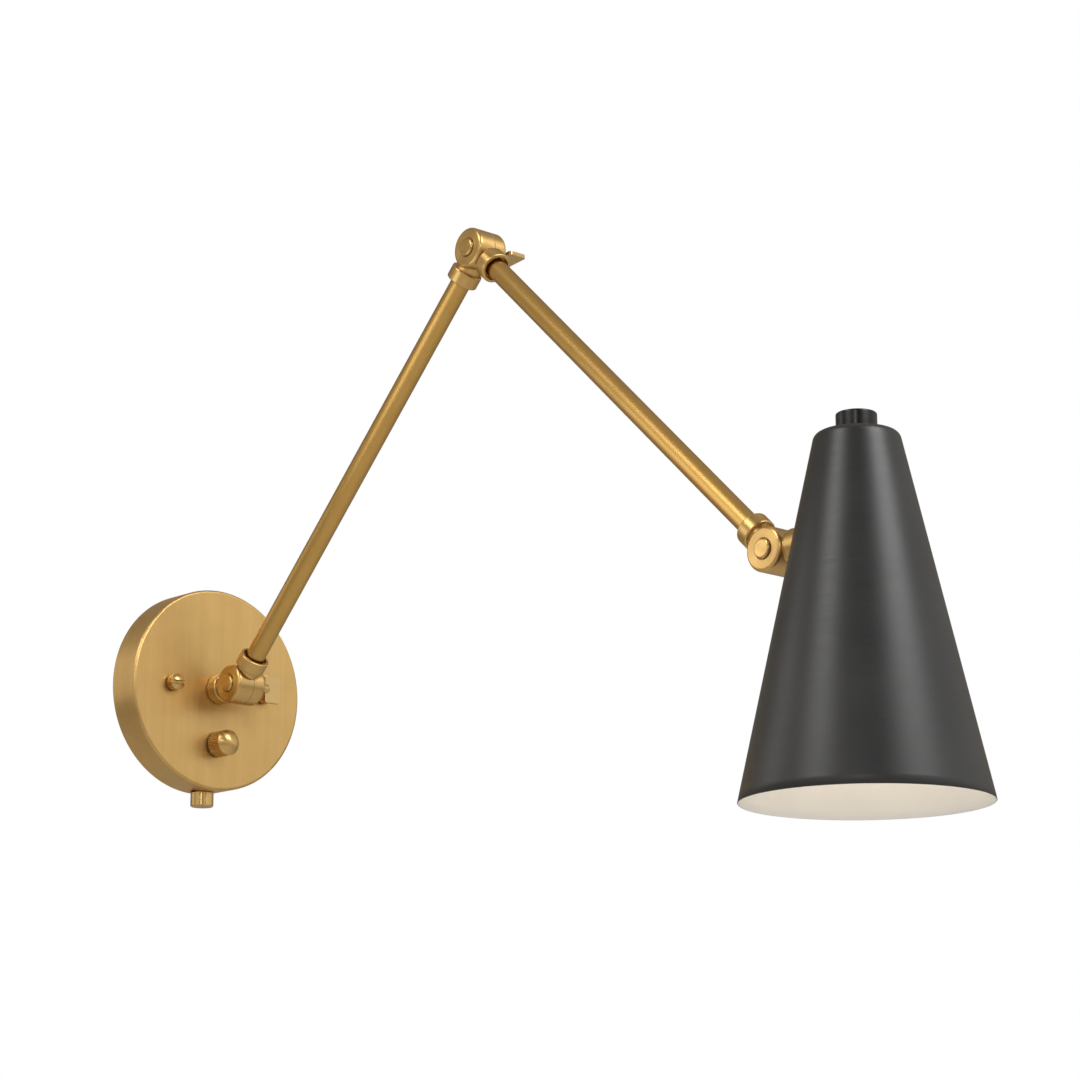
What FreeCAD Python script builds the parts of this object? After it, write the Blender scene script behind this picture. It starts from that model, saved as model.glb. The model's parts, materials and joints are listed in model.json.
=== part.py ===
"""Swing arm wall sconce: a round canopy, two tube arms on three thumb-screw knuckles, and a cone shade.

Millimetres.  +Z is up, +Y goes into the wall, the arms reach out along -Y.  The origin is the middle of
the canopy's back, on the wall.  Every knuckle turns about an axis parallel to X.
"""
import FreeCAD, Part
import math
import os
import re
import Sketcher
from FreeCAD import Placement, Rotation, Vector

doc = FreeCAD.newDocument("SwingArmSconce")
sheet = doc.addObject("Spreadsheet::Sheet", "Dimensions")

# Every size that can be set by itself: its name, its value in mm or degrees, and what it measures.
SIZES = [
    ("canopy_rad", 63.5, "canopy outer radius"),
    ("canopy_depth", 23.0, "canopy depth, wall to flat front"),
    ("canopy_wall", 1.2, "canopy sheet thickness"),
    ("canopy_edge", 1.6, "rounding of the canopy's front edge"),
    ("stud_offset", 34.93, "canopy stud distance from the middle"),
    ("stud_rad", 2.0, "canopy stud radius"),
    ("stud_proud", 5.0, "stud length in front of the canopy"),
    ("hole_gap", 0.3, "clearance round a screw in its hole"),
    ("turn_gap", 0.05, "radial clearance of a part that turns on a pin"),
    ("strap_long", 108.0, "mounting strap length"),
    ("strap_wide", 30.0, "mounting strap width"),
    ("strap_thick", 2.0, "mounting strap thickness"),
    ("strap_corner", 6.0, "mounting strap corner radius"),
    ("strap_bore", 10.0, "radius of the strap's wire hole"),
    ("box_offset", 44.45, "outlet box slot distance from the middle"),
    ("slot_half", 2.5, "half the width of an outlet box slot"),
    ("slot_long", 9.0, "end-to-end length of an outlet box slot"),
    ("locknut_high", 3.2, "thickness of a stud lock nut"),
    ("locknut_rad", 4.0, "corner radius of a stud lock nut"),
    ("ground_x", 22.0, "ground screw distance from the middle"),
    ("ground_head_rad", 4.0, "ground screw head radius"),
    ("ground_head_high", 2.4, "ground screw head thickness"),
    ("cap_neck_rad", 3.5, "cap nut neck radius"),
    ("cap_neck_high", 1.5, "cap nut neck length"),
    ("cap_nut_rad", 5.1, "cap nut radius"),
    ("cap_nut_high", 4.5, "cap nut straight side length"),
    ("cap_nut_dome", 2.2, "cap nut dome height"),
    ("cap_slot_wide", 1.3, "cap nut slot width"),
    ("cap_slot_deep", 2.4, "cap nut slot depth"),
    ("knob_drop", 34.93, "knob axis distance below the canopy's middle"),
    ("knob_rad", 8.0, "knob radius"),
    ("knob_long", 11.0, "knob straight side length"),
    ("knob_dome", 4.0, "knob dome height"),
    ("knob_gap", 1.5, "gap between knob and canopy"),
    ("knob_recess_rad", 6.5, "radius of the recess in the knob's back"),
    ("knob_recess_deep", 4.0, "depth of the recess in the knob's back"),
    ("knurl_count", 36, "grooves round the knob"),
    ("knurl_deep", 0.45, "depth of a knob groove"),
    ("knurl_rim", 1.2, "plain rim in front of the grooves"),
    ("switch_rad", 11.0, "rotary switch body radius"),
    ("switch_deep", 12.0, "rotary switch body depth"),
    ("bushing_rad", 3.5, "rotary switch bushing radius"),
    ("bushing_long", 3.5, "bushing length in front of the canopy"),
    ("bushing_nut_rad", 5.6, "bushing nut corner radius"),
    ("bushing_nut_high", 1.3, "bushing nut thickness"),
    ("shaft_rad", 2.0, "switch shaft radius"),
    ("shaft_in_knob", 6.0, "switch shaft length inside the knob's bore"),
    ("shaft_in_switch", 8.0, "switch shaft length inside the switch body"),
    ("outlet_y", 8.85, "cord outlet distance from the wall"),
    ("outlet_rad", 4.8, "cord outlet nipple radius"),
    ("outlet_bore", 2.6, "cord outlet nipple bore radius"),
    ("outlet_inside", 4.0, "cord outlet nipple length inside the canopy"),
    ("outlet_cap_rad", 7.2, "cord outlet cap radius"),
    ("outlet_cap_high", 8.7, "cord outlet cap height"),
    ("outlet_cap_floor", 2.6, "cord outlet cap floor thickness"),
    ("outlet_cap_edge", 0.7, "chamfer of the cord outlet cap"),
    ("outlet_gap", 0.4, "gap between canopy rim and cord outlet cap"),
    ("outlet_nut_rad", 6.5, "cord outlet lock nut corner radius"),
    ("outlet_nut_high", 2.5, "cord outlet lock nut thickness"),
    ("barrel_rad", 12.0, "knuckle barrel radius"),
    ("barrel_left", 9.2, "knuckle barrel length on the pivot screw's side"),
    ("barrel_right", 12.1, "knuckle barrel length on the thumb screw's side"),
    ("barrel_edge", 2.0, "rounding of the barrel's plain end"),
    ("barrel_round", 3.0, "rounding of the barrel's thumb screw end"),
    ("split_x", 2.5, "place of the knuckle's split"),
    ("split_gap", 0.3, "gap between the two knuckle halves"),
    ("barrel_wall", 2.0, "knuckle barrel wall"),
    ("end_wall", 3.0, "knuckle end wall thickness"),
    ("hub_rad", 6.0, "knuckle hub radius"),
    ("pivot_rad", 4.0, "pivot screw shank radius"),
    ("pivot_head_rad", 5.4, "pivot screw head radius"),
    ("pivot_head_proud", 1.5, "pivot screw head height above the barrel"),
    ("pivot_head_edge", 1.2, "rounding of the pivot screw head"),
    ("sink_rad", 5.8, "radius of the pivot screw's counterbore"),
    ("sink_deep", 1.2, "depth of the pivot screw's counterbore"),
    ("pivot_reach", 5.2, "pivot screw end, measured from the arm plane"),
    ("neck_rad", 7.5, "knuckle neck radius, between barrel and collar"),
    ("collar_rad", 9.4, "knuckle collar radius"),
    ("collar_gap", 1.6, "collar's lower rim distance from the barrel"),
    ("collar_high", 8.4, "collar height"),
    ("collar_edge", 1.0, "rounding of the collar rim"),
    ("neck_relief", 0.35, "clearance between a neck and the other half"),
    ("cup_gap", 1.6, "gap between an arm tube and the collar's cup round it"),
    ("cup_deep", 5.0, "depth of the collar's cup"),
    ("tube_wall", 1.0, "arm tube wall"),
    ("nipple_wall", 1.7, "threaded nipple wall"),
    ("nipple_start", 0.8, "nipple end distance from the barrel"),
    ("nipple_grip", 10.0, "nipple length inside an arm tube"),
    ("arm_long", 319.0, "arm length between its hinges"),
    ("tube_rad", 6.0, "arm tube radius"),
    ("lead_rad", 1.5, "two-core lead radius"),
    ("inner_angle", 44.6, "inner arm angle out from straight up"),
    ("outer_angle", 46.2, "outer arm angle out from straight down"),
    ("swivel_washer", 0.5, "thickness of the washer under the canopy knuckle"),
    ("swivel_washer_rad", 8.2, "radius of the washer under the canopy knuckle"),
    ("spring_washer", 0.8, "spring washer thickness"),
    ("spring_washer_rad", 8.0, "spring washer radius"),
    ("nipple_nut_high", 3.5, "thickness of a nipple's lock nut"),
    ("nipple_nut_rad", 8.0, "corner radius of a nipple's lock nut"),
    ("nipple_end", 1.0, "nipple length past its lock nut"),
    ("thumb_rad", 2.9, "thumb screw shank radius"),
    ("thumb_neck", 11.8, "thumb screw length from its tip to its plate"),
    ("thumb_boss", 3.4, "thumb screw shank length over its plate"),
    ("thumb_wide", 12.4, "thumb screw plate length along the screw"),
    ("thumb_high", 17.4, "thumb screw plate height"),
    ("thumb_thick", 2.2, "thumb screw plate thickness"),
    ("thumb_corner", 1.8, "thumb screw plate corner radius"),
    ("thumb_backed", 2.1, "how far the base thumb screw stands backed out"),
    ("elbow_thumb_turn", -96.0, "turn of the elbow thumb screw about its axis"),
    ("shade_thumb_turn", -30.0, "turn of the shade thumb screw about its axis"),
    ("saddle_thick", 2.24, "shade wall distance from the stem's collar, filled by the outer saddle"),
    ("shade_rad", 62.6, "shade outer radius at its rim"),
    ("shade_slope", 12.57, "shade side angle from straight up"),
    ("shade_drop", 134.7, "shade rim depth below the stem"),
    ("shade_rise", 50.8, "shade top height above the stem"),
    ("shade_wall", 1.0, "shade sheet thickness"),
    ("shade_corner", 4.8, "rounding of the shade's top corner"),
    ("saddle_rad", 8.4, "outer saddle radius"),
    ("saddle_span", 6.2, "inner saddle seat distance from the stem's collar"),
    ("top_cap_rad", 10.4, "shade cap radius"),
    ("top_cap_high", 10.0, "shade cap height"),
    ("top_cap_edge", 1.0, "rounding of the shade cap"),
    ("top_cap_bore", 6.5, "depth of the shade cap's threaded bore"),
    ("socket_top", 44.0, "socket cup top height above the stem"),
    ("socket_cup_rad", 17.5, "socket cup radius"),
    ("socket_cup_high", 16.0, "socket cup height"),
    ("socket_cup_wall", 0.8, "socket cup wall"),
    ("socket_roof", 8.0, "wiring space under the socket cup's top"),
    ("socket_gap", 0.1, "gap between socket body and socket cup"),
    ("socket_high", 38.0, "socket body height"),
    ("socket_wall", 2.3, "socket body wall"),
    ("socket_floor", 6.0, "socket body thickness behind the contact"),
    ("liner_rad", 14.2, "socket screw shell radius"),
    ("liner_wall", 0.6, "socket screw shell wall"),
    ("liner_long", 27.0, "socket screw shell length"),
    ("contact_rad", 3.0, "socket centre contact radius"),
    ("contact_high", 1.2, "socket centre contact thickness"),
    ("bulb_base_rad", 13.1, "bulb screw base radius"),
    ("bulb_base_long", 24.0, "bulb screw base length"),
    ("bulb_tip_rad", 4.8, "bulb contact radius"),
    ("bulb_neck_long", 3.0, "bulb neck under its screw base"),
    ("bulb_body_long", 38.0, "bulb housing length"),
    ("bulb_rad", 30.0, "bulb globe radius"),
    ("bulb_wall", 1.2, "bulb wall thickness"),
    ("board_thick", 1.6, "bulb light board thickness"),
    ("wire_rad", 0.9, "single wire radius"),
    ("wire_nut_rad", 5.0, "wire nut radius"),
    ("wire_nut_tip", 3.4, "wire nut tip radius"),
    ("wire_nut_long", 15.0, "wire nut length"),
    ("wire_nut_x", 18.0, "upper wire nut distance from the middle"),
    ("wire_nut_far", 26.0, "third wire nut distance from the middle"),
    ("wire_nut_z", 30.0, "wire nut height above the middle"),
    ("wire_nut_drop", 12.0, "third wire nut depth below the middle"),
    ("wire_bend", 3.0, "bend radius of the wires"),
    ("wire_space", 1.3, "distance of a single wire from the middle of its pair"),
]

# Places that follow from the sizes above.
PLACES = [
    ("face_y", "-canopy_depth", "canopy front"),
    ("inside_y", "-(canopy_depth - canopy_wall)", "canopy front, inside"),
    ("nipple_rad", "tube_rad - tube_wall", "threaded nipple radius"),
    ("nipple_bore", "nipple_rad - nipple_wall", "threaded nipple bore radius"),
    ("cup_rad", "tube_rad + cup_gap", "radius of the collar's cup"),
    ("collar_start", "barrel_rad + collar_gap", "collar's lower rim distance from the hinge axis"),
    ("collar_end", "collar_start + collar_high", "collar's upper rim distance from the hinge axis"),
    ("nipple_root", "barrel_rad + nipple_start", "nipple end distance from the hinge axis"),
    ("base_y", "-(canopy_depth + swivel_washer + collar_end)", "base hinge"),
    ("elbow_y", "base_y - arm_long * sin(inner_angle)", "elbow hinge"),
    ("elbow_z", "arm_long * cos(inner_angle)", "elbow hinge height"),
    ("head_y", "elbow_y - arm_long * sin(outer_angle)", "shade hinge"),
    ("head_z", "elbow_z - arm_long * cos(outer_angle)", "shade hinge height"),
    ("seat", "collar_end - cup_deep", "tube end distance from its hinge"),
    ("left_face", "split_x - split_gap / 2", "plain half's inner face"),
    ("right_face", "split_x + split_gap / 2", "thumb screw half's inner face"),
    ("shade_tan", "tan(shade_slope)", "shade radius gained for each mm of drop"),
    ("shade_reach", "shade_rad - shade_tan * shade_drop + collar_end + saddle_thick",
     "shade axis from the shade hinge"),
    ("saddle_seat", "collar_end + saddle_span", "inner saddle seat distance from the shade hinge"),
    ("shade_y", "head_y - shade_reach", "shade axis"),
    ("shade_skin", "shade_wall / cos(shade_slope)", "shade wall measured level"),
    ("shade_top_rad", "shade_rad - shade_tan * (shade_drop + shade_rise)", "shade radius at its top"),
    ("outlet_cap_top", "-(canopy_rad + outlet_gap)", "cord outlet cap top"),
]

NAMES = {name for name, *rest in SIZES + PLACES}


def full(text):
    """The expression with each size's name made a reference to the sheet."""
    return re.sub(r"[a-z_]+", lambda m: f"Dimensions.{m[0]}" if m[0] in NAMES else m[0], str(text))


def fill_sheet():
    for row, (name, value, meaning) in enumerate(SIZES + PLACES, start=1):
        sheet.set(f"A{row}", name)
        sheet.set(f"B{row}", f"={value}" if isinstance(value, str) else str(value))
        sheet.set(f"C{row}", meaning)
        sheet.setAlias(f"B{row}", name)
    doc.recompute()


def number(text):
    """The value that an expression has now."""
    value = sheet.evalExpression(full(text))
    return float(getattr(value, "Value", value))


def bind(item, **sizes):
    """Bind properties of an object to expressions; Base_x stands for Placement.Base.x."""
    for key, text in sizes.items():
        item.setExpression(key.replace("Base_", "Placement.Base."), full(text))
    return item


TURNS = {
    "+x": Rotation(Vector(0, 1, 0), 90),
    "-x": Rotation(Vector(0, 1, 0), -90),
    "+y": Rotation(Vector(1, 0, 0), -90),
    "-y": Rotation(Vector(1, 0, 0), 90),
    "+z": Rotation(),
    "-z": Rotation(Vector(1, 0, 0), 180),
}


def stand(item, at, way="+z"):
    """Put an object's own origin at a place, with its own Z along a way."""
    item.Placement = Placement(Vector(), TURNS[way])
    return bind(item, Base_x=at[0], Base_y=at[1], Base_z=at[2])


def round_bar(radius, length, at=(0, 0, 0), way="+z", name="Bar"):
    bar = doc.addObject("Part::Cylinder", name)
    bind(bar, Radius=radius, Height=length)
    return stand(bar, at, way)


def block(size, at, name="Block"):
    item = doc.addObject("Part::Box", name)
    bind(item, Length=size[0], Width=size[1], Height=size[2])
    return stand(item, at)


def taper(radius_1, radius_2, length, at=(0, 0, 0), way="+z", name="Taper"):
    cone = doc.addObject("Part::Cone", name)
    bind(cone, Radius1=radius_1, Radius2=radius_2, Height=length)
    return stand(cone, at, way)


def ball(radius, at, name="Ball"):
    item = doc.addObject("Part::Sphere", name)
    bind(item, Radius=radius)
    return stand(item, at)


def join(items, name="Join"):
    item = doc.addObject("Part::MultiFuse", name)
    item.Shapes = items
    return item


def cut(base, tools, name="Cut"):
    item = doc.addObject("Part::Cut", name)
    item.Base = base
    item.Tool = tools[0] if len(tools) == 1 else join(tools)
    return item


def common(base, tool, name="Common"):
    item = doc.addObject("Part::Common", name)
    item.Base = base
    item.Tool = tool
    return item


def group(items, name="Group"):
    """One piece, or several like ones, kept as separate solids in their own frame."""
    item = doc.addObject("Part::Compound", name)
    item.Links = items
    return item


def ring(outer, bore, length, at=(0, 0, 0), way="+z"):
    return cut(round_bar(outer, length, at, way), [round_bar(bore, length, at, way)])


def hex_nut(corner, bore, length, at=(0, 0, 0), way="+z"):
    nut = doc.addObject("Part::Prism", "Hexagon")
    nut.Polygon = 6
    bind(nut, Circumradius=corner, Height=length)
    return cut(stand(nut, at, way), [round_bar(bore, length, at, way)])


def domed_bar(radius, length, dome, at, way):
    """A bar whose far end is a spherical cap; `at` is its flat end and `way` points to the dome."""
    sign = -1 if way[0] == "-" else 1
    axis = "xyz".index(way[1])
    ball_rad = f"((({radius}) * ({radius}) + ({dome}) * ({dome})) / (2 * ({dome})))"
    centre = list(at)
    centre[axis] = f"{at[axis]} + {sign} * (({length}) + ({dome}) - {ball_rad})"
    cap = doc.addObject("Part::Sphere", "Dome")
    bind(cap, Radius=ball_rad, Angle1=f"asin(({ball_rad} - ({dome})) / {ball_rad})")
    return join([round_bar(radius, length, at, way), stand(cap, centre, way)])


SUBPARTS = []


def subpart(item, name, at=None, turn=None):
    """Name a finished sub-part, and move it from its own frame to its hinge, turned about X."""
    if at is not None:
        item.Placement = Placement(Vector(), Rotation(Vector(1, 0, 0), number(turn or 0)))
        if turn is not None:
            item.setExpression("Placement.Rotation.Angle", full(turn))
        bind(item, Base_y=at[0], Base_z=at[1])
    item.Label = name
    SUBPARTS.append(item)
    return item


# Places of the three hinges and of the shade axis, and the turn that sends a collar along each member.
BASE = ("base_y", "0")
ELBOW = ("elbow_y", "elbow_z")
HEAD = ("head_y", "head_z")
SHADE = ("shade_y", "head_z")
INNER_OUT = "inner_angle"
INNER_BACK = "inner_angle + 180"
OUTER_OUT = "180 - outer_angle"
OUTER_BACK = "-outer_angle"
TO_WALL = "-90"
TO_SHADE = "90"


def new_body(name):
    return doc.addObject("PartDesign::Body", name)


def outline(body, name, role, corners):
    """A closed sketch of straight lines on one of the body's own planes, each corner bound to the sheet."""
    sketch = body.newObject("Sketcher::SketchObject", name)
    plane = next(item for item in body.Origin.OriginFeatures if item.Role == role)
    sketch.AttachmentSupport = (plane, [""])
    sketch.MapMode = "FlatFace"
    spots = [Vector(number(u), number(v), 0) for u, v in corners]
    count = len(spots)
    for i in range(count):
        sketch.addGeometry(Part.LineSegment(spots[i], spots[(i + 1) % count]), False)
    for i in range(count):
        sketch.addConstraint(Sketcher.Constraint("Coincident", i, 2, (i + 1) % count, 1))
    for i, (u, v) in enumerate(corners):
        for way, text, value in (("X", u, spots[i].x), ("Y", v, spots[i].y)):
            index = sketch.addConstraint(Sketcher.Constraint(f"Distance{way}", -1, 1, i, 1, value))
            sketch.setExpression(f"Constraints[{index}]", full(text))
    return sketch


def spin(body, name, kind, sketch, axis):
    """A full turn of a sketch about its own H_Axis or V_Axis; kind is Revolution or Groove."""
    feature = body.newObject(f"PartDesign::{kind}", name)
    feature.Profile = sketch
    feature.ReferenceAxis = (sketch, [axis])
    feature.Angle = 360.0
    sketch.Visibility = False
    return feature


def body_bar(body, kind, radius, length, at, way):
    """A cylinder added to a body or cut from it; kind is Additive or Subtractive."""
    feature = body.newObject(f"PartDesign::{kind}Cylinder", f"{kind}Bar")
    bind(feature, Radius=radius, Height=length)
    return stand(feature, at, way)


def circles(shape, radius, axis, place):
    """Names of the circular edges of one radius whose middle lies at one place along an axis."""
    names = []
    for i, edge in enumerate(shape.Edges, start=1):
        curve = edge.Curve
        if isinstance(curve, Part.Circle) and abs(curve.Radius - number(radius)) < 1e-4:
            if abs(curve.Center["xyz".index(axis)] - number(place)) < 1e-4:
                names.append(f"Edge{i}")
    return names


def soften(body, kind, size, find):
    """A Fillet or Chamfer on the edges that `find` picks from the body as it stands."""
    doc.recompute()
    before = body.Tip
    feature = body.newObject(f"PartDesign::{kind}", kind)
    feature.Base = (before, find(before.Shape))
    return bind(feature, **{"Radius" if kind == "Fillet" else "Size": size})


# ---------------------------------------------------------------- canopy and what is fixed to the wall

def canopy():
    """Spun brass dish, open to the wall, drilled for its studs, stem, switch and cord outlet."""
    body = new_body("Canopy")
    dish = outline(body, "DishProfile", "XY_Plane", [
        ("0", "face_y"),
        ("canopy_rad", "face_y"),
        ("canopy_rad", "0"),
        ("canopy_rad - canopy_wall", "0"),
        ("canopy_rad - canopy_wall", "inside_y"),
        ("0", "inside_y"),
    ])
    spin(body, "Dish", "Revolution", dish, "V_Axis")
    soften(body, "Fillet", "canopy_edge", lambda s: circles(s, "canopy_rad", "y", "face_y"))
    body_bar(body, "Subtractive", "nipple_rad + turn_gap", "canopy_depth", (0, 0, 0), "-y")
    for side in (-1, 1):
        at = (f"{side} * stud_offset", 0, 0)
        body_bar(body, "Subtractive", "stud_rad + hole_gap", "canopy_depth", at, "-y")
    body_bar(body, "Subtractive", "bushing_rad + hole_gap", "canopy_depth", (0, 0, "-knob_drop"), "-y")
    start = (0, "-outlet_y", "-(canopy_rad - 4 * canopy_wall)")
    body_bar(body, "Subtractive", "outlet_rad + turn_gap", "5 * canopy_wall", start, "-z")
    return subpart(body, "canopy")


def mounting_strap():
    """Flat steel bar against the wall: wire hole, two stud holes, two slots for the outlet box."""
    body = new_body("MountingStrap")
    half_x, half_z = "strap_long / 2", "strap_wide / 2"
    plate = outline(body, "PlateProfile", "XZ_Plane", [
        (f"-{half_x}", f"-{half_z}"),
        (half_x, f"-{half_z}"),
        (half_x, half_z),
        (f"-{half_x}", half_z),
    ])
    pad = body.newObject("PartDesign::Pad", "Plate")
    pad.Profile = plate
    bind(pad, Length="strap_thick")

    def corners(shape):
        found = enumerate(shape.Edges, start=1)
        ends = abs(number(half_x))
        return [f"Edge{i}" for i, e in found
                if abs(e.Length - number("strap_thick")) < 1e-4 and abs(abs(e.CenterOfMass.x) - ends) < 1e-4]

    soften(body, "Fillet", "strap_corner", corners)
    body_bar(body, "Subtractive", "strap_bore", "strap_thick", (0, 0, 0), "-y")
    for side in (-1, 1):
        body_bar(body, "Subtractive", "stud_rad", "strap_thick", (f"{side} * stud_offset", 0, 0), "-y")
        middle = f"{side} * box_offset"
        for end in (-1, 1):
            at = (f"{middle} + {end} * (slot_long / 2 - slot_half)", 0, 0)
            body_bar(body, "Subtractive", "slot_half", "strap_thick", at, "-y")
        slot = body.newObject("PartDesign::SubtractiveBox", "SlotMiddle")
        bind(slot, Length="slot_long - 2 * slot_half", Width="strap_thick", Height="2 * slot_half")
        stand(slot, (f"{middle} - slot_long / 2 + slot_half", "-strap_thick", "-slot_half"))
    body_bar(body, "Subtractive", "stud_rad", "strap_thick", ("-ground_x", 0, 0), "-y")
    return subpart(body, "mounting_strap")


def strap_fasteners():
    """Two studs with lock nuts on the strap, their slotted cap nuts on the canopy, the ground screw."""
    studs, locks, caps = [], [], []
    for side in (-1, 1):
        x = f"{side} * stud_offset"
        studs.append(round_bar("stud_rad", "canopy_depth + stud_proud", (x, 0, 0), "-y"))
        locks.append(hex_nut("locknut_rad", "stud_rad", "locknut_high", (x, "-strap_thick", 0), "-y"))
        neck_end = (x, "face_y - cap_neck_high", 0)
        nut = join([
            round_bar("cap_neck_rad", "cap_neck_high", (x, "face_y", 0), "-y"),
            domed_bar("cap_nut_rad", "cap_nut_high", "cap_nut_dome", neck_end, "-y"),
        ])
        total = "(cap_neck_high + cap_nut_high + cap_nut_dome)"
        slot = block(("2 * cap_nut_rad", "cap_slot_deep", "cap_slot_wide"),
                     (f"{x} - cap_nut_rad", f"face_y - {total}", "-cap_slot_wide / 2"))
        bore = round_bar("stud_rad", "stud_proud", (x, "face_y", 0), "-y")
        caps.append(cut(nut, [slot, bore]))
    subpart(group(studs), "canopy_studs")
    subpart(group(locks), "stud_locknuts")
    subpart(group(caps), "canopy_cap_nuts")
    head = domed_bar("ground_head_rad", "ground_head_high", "ground_head_high / 2",
                     ("-ground_x", "-strap_thick", 0), "-y")
    shank = round_bar("stud_rad", "strap_thick", ("-ground_x", 0, 0), "-y")
    subpart(join([head, shank]), "ground_screw")


def rotary_switch():
    """Switch body behind the canopy, its bushing and nut, and the shaft that the knob turns."""
    z = "-knob_drop"
    can = round_bar("switch_rad", "switch_deep", (0, "inside_y", z), "+y")
    bushing = round_bar("bushing_rad", "canopy_wall + bushing_long", (0, "inside_y", z), "-y")
    bore = round_bar("shaft_rad + turn_gap", "shaft_in_switch + canopy_wall + bushing_long",
                     (0, "inside_y + shaft_in_switch", z), "-y")
    subpart(cut(join([can, bushing]), [bore]), "rotary_switch_body")
    nut = hex_nut("bushing_nut_rad", "bushing_rad", "bushing_nut_high", (0, "face_y", z), "-y")
    subpart(nut, "switch_bushing_nut")


def dimmer_knob():
    """Grooved brass knob with a domed front, and the switch shaft pressed into it."""
    z = "-knob_drop"
    back = "face_y - knob_gap"
    knob = domed_bar("knob_rad", "knob_long", "knob_dome", (0, back, z), "-y")
    tools = [
        round_bar("knob_recess_rad", "knob_recess_deep", (0, back, z), "-y"),
        round_bar("shaft_rad", "knob_recess_deep + shaft_in_knob", (0, back, z), "-y"),
    ]
    count = int(number("knurl_count"))
    for i in range(count):
        groove = doc.addObject("Part::Box", "Groove")
        side = "knurl_deep * sqrt(2)"
        bind(groove, Length=side, Width="knob_long - knurl_rim", Height=side)
        angle = 360.0 * i / count
        groove.Placement = Placement(Vector(), Rotation(Vector(0, 1, 0), 45 - angle))
        reach = "(knob_rad - knurl_deep)"
        bind(groove, Base_x=f"{reach} * cos({angle})", Base_y=f"{back} - knob_long + knurl_rim",
             Base_z=f"{z} + {reach} * sin({angle})")
        tools.append(groove)
    subpart(cut(knob, tools), "dimmer_knob")
    reach_in = f"{back} - knob_recess_deep - shaft_in_knob"
    shaft = round_bar("shaft_rad", f"inside_y + shaft_in_switch - ({reach_in})",
                      (0, "inside_y + shaft_in_switch", z), "-y")
    subpart(shaft, "switch_shaft")


def cord_outlet():
    """Threaded outlet in the canopy's lower rim, locked inside and closed by a turned cap."""
    y = "-outlet_y"
    start = (0, y, "-(canopy_rad - canopy_wall - outlet_inside)")
    run = "canopy_wall + outlet_inside + outlet_gap + outlet_cap_high - outlet_cap_floor"
    subpart(ring("outlet_rad", "outlet_bore", run, start, "-z"), "cord_outlet_nipple")
    # The nut's corners just reach the curved rim, so its seat stands in by that curve's rise.
    inside = "(canopy_rad - canopy_wall)"
    rise = f"sqrt({inside} * {inside} - (outlet_nut_rad + hole_gap) * (outlet_nut_rad + hole_gap))"
    seat = (0, y, f"-{rise}")
    subpart(hex_nut("outlet_nut_rad", "outlet_rad", "outlet_nut_high", seat, "+z"), "cord_outlet_locknut")
    body = new_body("CordOutletCap")
    cap = outline(body, "CapProfile", "XZ_Plane", [
        ("0", "outlet_cap_top - outlet_cap_high"),
        ("outlet_cap_rad", "outlet_cap_top - outlet_cap_high"),
        ("outlet_cap_rad", "outlet_cap_top"),
        ("outlet_rad", "outlet_cap_top"),
        ("outlet_rad", "outlet_cap_top - outlet_cap_high + outlet_cap_floor"),
        ("0", "outlet_cap_top - outlet_cap_high + outlet_cap_floor"),
    ])
    spin(body, "Cap", "Revolution", cap, "V_Axis")
    rim = "outlet_cap_top - outlet_cap_high"
    soften(body, "Chamfer", "outlet_cap_edge", lambda s: circles(s, "outlet_cap_rad", "z", rim))
    subpart(body, "cord_outlet_cap")
    body.Placement = Placement()
    bind(body, Base_y=y)


# ---------------------------------------------------------------- knuckles

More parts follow.
